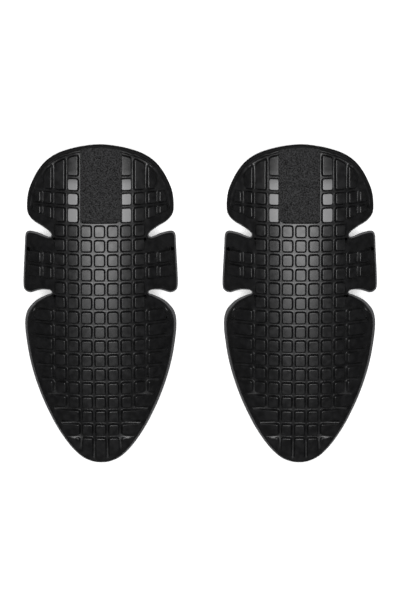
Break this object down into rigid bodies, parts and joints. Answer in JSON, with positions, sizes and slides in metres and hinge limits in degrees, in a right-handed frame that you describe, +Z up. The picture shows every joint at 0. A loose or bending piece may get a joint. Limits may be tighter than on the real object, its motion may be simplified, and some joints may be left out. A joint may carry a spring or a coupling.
{
  "type": "pair of knee guards",
  "caption": "Flexible domed foam knee guards with a grid of raised tiles, notched side wings, a long tapered shin lobe and a sewn loop tape on the thigh lobe.",
  "frame": {"origin": "on the table, in the middle of the pair as it lies dome up", "axes": "+X from the left guard to the right one, +Y towards the thigh end, +Z up through the domes"},
  "size_m": [0.3456, 0.3184, 0.0479],
  "materials": {
    "foam": "satin moulded skin",
    "loop_tape": "matt looped pile",
    "thread": "twisted polyester"
  },
  "bodies": {
    "left_core": {"left_core_pad": "foam"},
    "left_thigh": {"left_thigh_lobe": "foam", "left_loop_tape": "loop_tape", "left_tape_stitching": "thread"},
    "left_shin": {"left_shin_lobe": "foam"},
    "left_wing_out": {"left_outer_wing": "foam"},
    "left_wing_in": {"left_inner_wing": "foam"},
    "right_core": {"right_core_pad": "foam"},
    "right_thigh": {"right_thigh_lobe": "foam", "right_loop_tape": "loop_tape", "right_tape_stitching": "thread"},
    "right_shin": {"right_shin_lobe": "foam"},
    "right_wing_out": {"right_outer_wing": "foam"},
    "right_wing_in": {"right_inner_wing": "foam"}
  },
  "joints": [
    {"name": "left_thigh_flex", "type": "hinge", "parent": "left_core", "child": "left_thigh", "pos_m": [-0.0973, 0.0704, 0.03268], "axis": [1, 0, 0], "range_deg": [-12, 15], "stiffness_Nm_per_rad": 0.9},
    {"name": "left_shin_flex", "type": "hinge", "parent": "left_core", "child": "left_shin", "pos_m": [-0.0973, 0.014, 0.0344], "axis": [-1, 0, 0], "range_deg": [-4, 15], "stiffness_Nm_per_rad": 0.9},
    {"name": "left_wing_out_flex", "type": "hinge", "parent": "left_core", "child": "left_wing_out", "pos_m": [-0.1428, 0.0422, 0.02569], "axis": [0, 1, 0], "range_deg": [-8, 22], "stiffness_Nm_per_rad": 0.1},
    {"name": "left_wing_in_flex", "type": "hinge", "parent": "left_core", "child": "left_wing_in", "pos_m": [-0.0518, 0.0422, 0.02569], "axis": [0, -1, 0], "range_deg": [-8, 22], "stiffness_Nm_per_rad": 0.1},
    {"name": "right_guard_place", "type": "slide", "parent": "left_core", "child": "right_core", "axis": [1, 0, 0], "range_m": [-0.02, 0.04]},
    {"name": "right_thigh_flex", "type": "hinge", "parent": "right_core", "child": "right_thigh", "pos_m": [0.0973, 0.0704, 0.03268], "axis": [1, 0, 0], "range_deg": [-12, 15], "stiffness_Nm_per_rad": 0.9},
    {"name": "right_shin_flex", "type": "hinge", "parent": "right_core", "child": "right_shin", "pos_m": [0.0973, 0.014, 0.0344], "axis": [-1, 0, 0], "range_deg": [-4, 15], "stiffness_Nm_per_rad": 0.9},
    {"name": "right_wing_out_flex", "type": "hinge", "parent": "right_core", "child": "right_wing_out", "pos_m": [0.1428, 0.0422, 0.02569], "axis": [0, -1, 0], "range_deg": [-8, 22], "stiffness_Nm_per_rad": 0.1},
    {"name": "right_wing_in_flex", "type": "hinge", "parent": "right_core", "child": "right_wing_in", "pos_m": [0.0518, 0.0422, 0.02569], "axis": [0, 1, 0], "range_deg": [-8, 22], "stiffness_Nm_per_rad": 0.1}
  ]
}
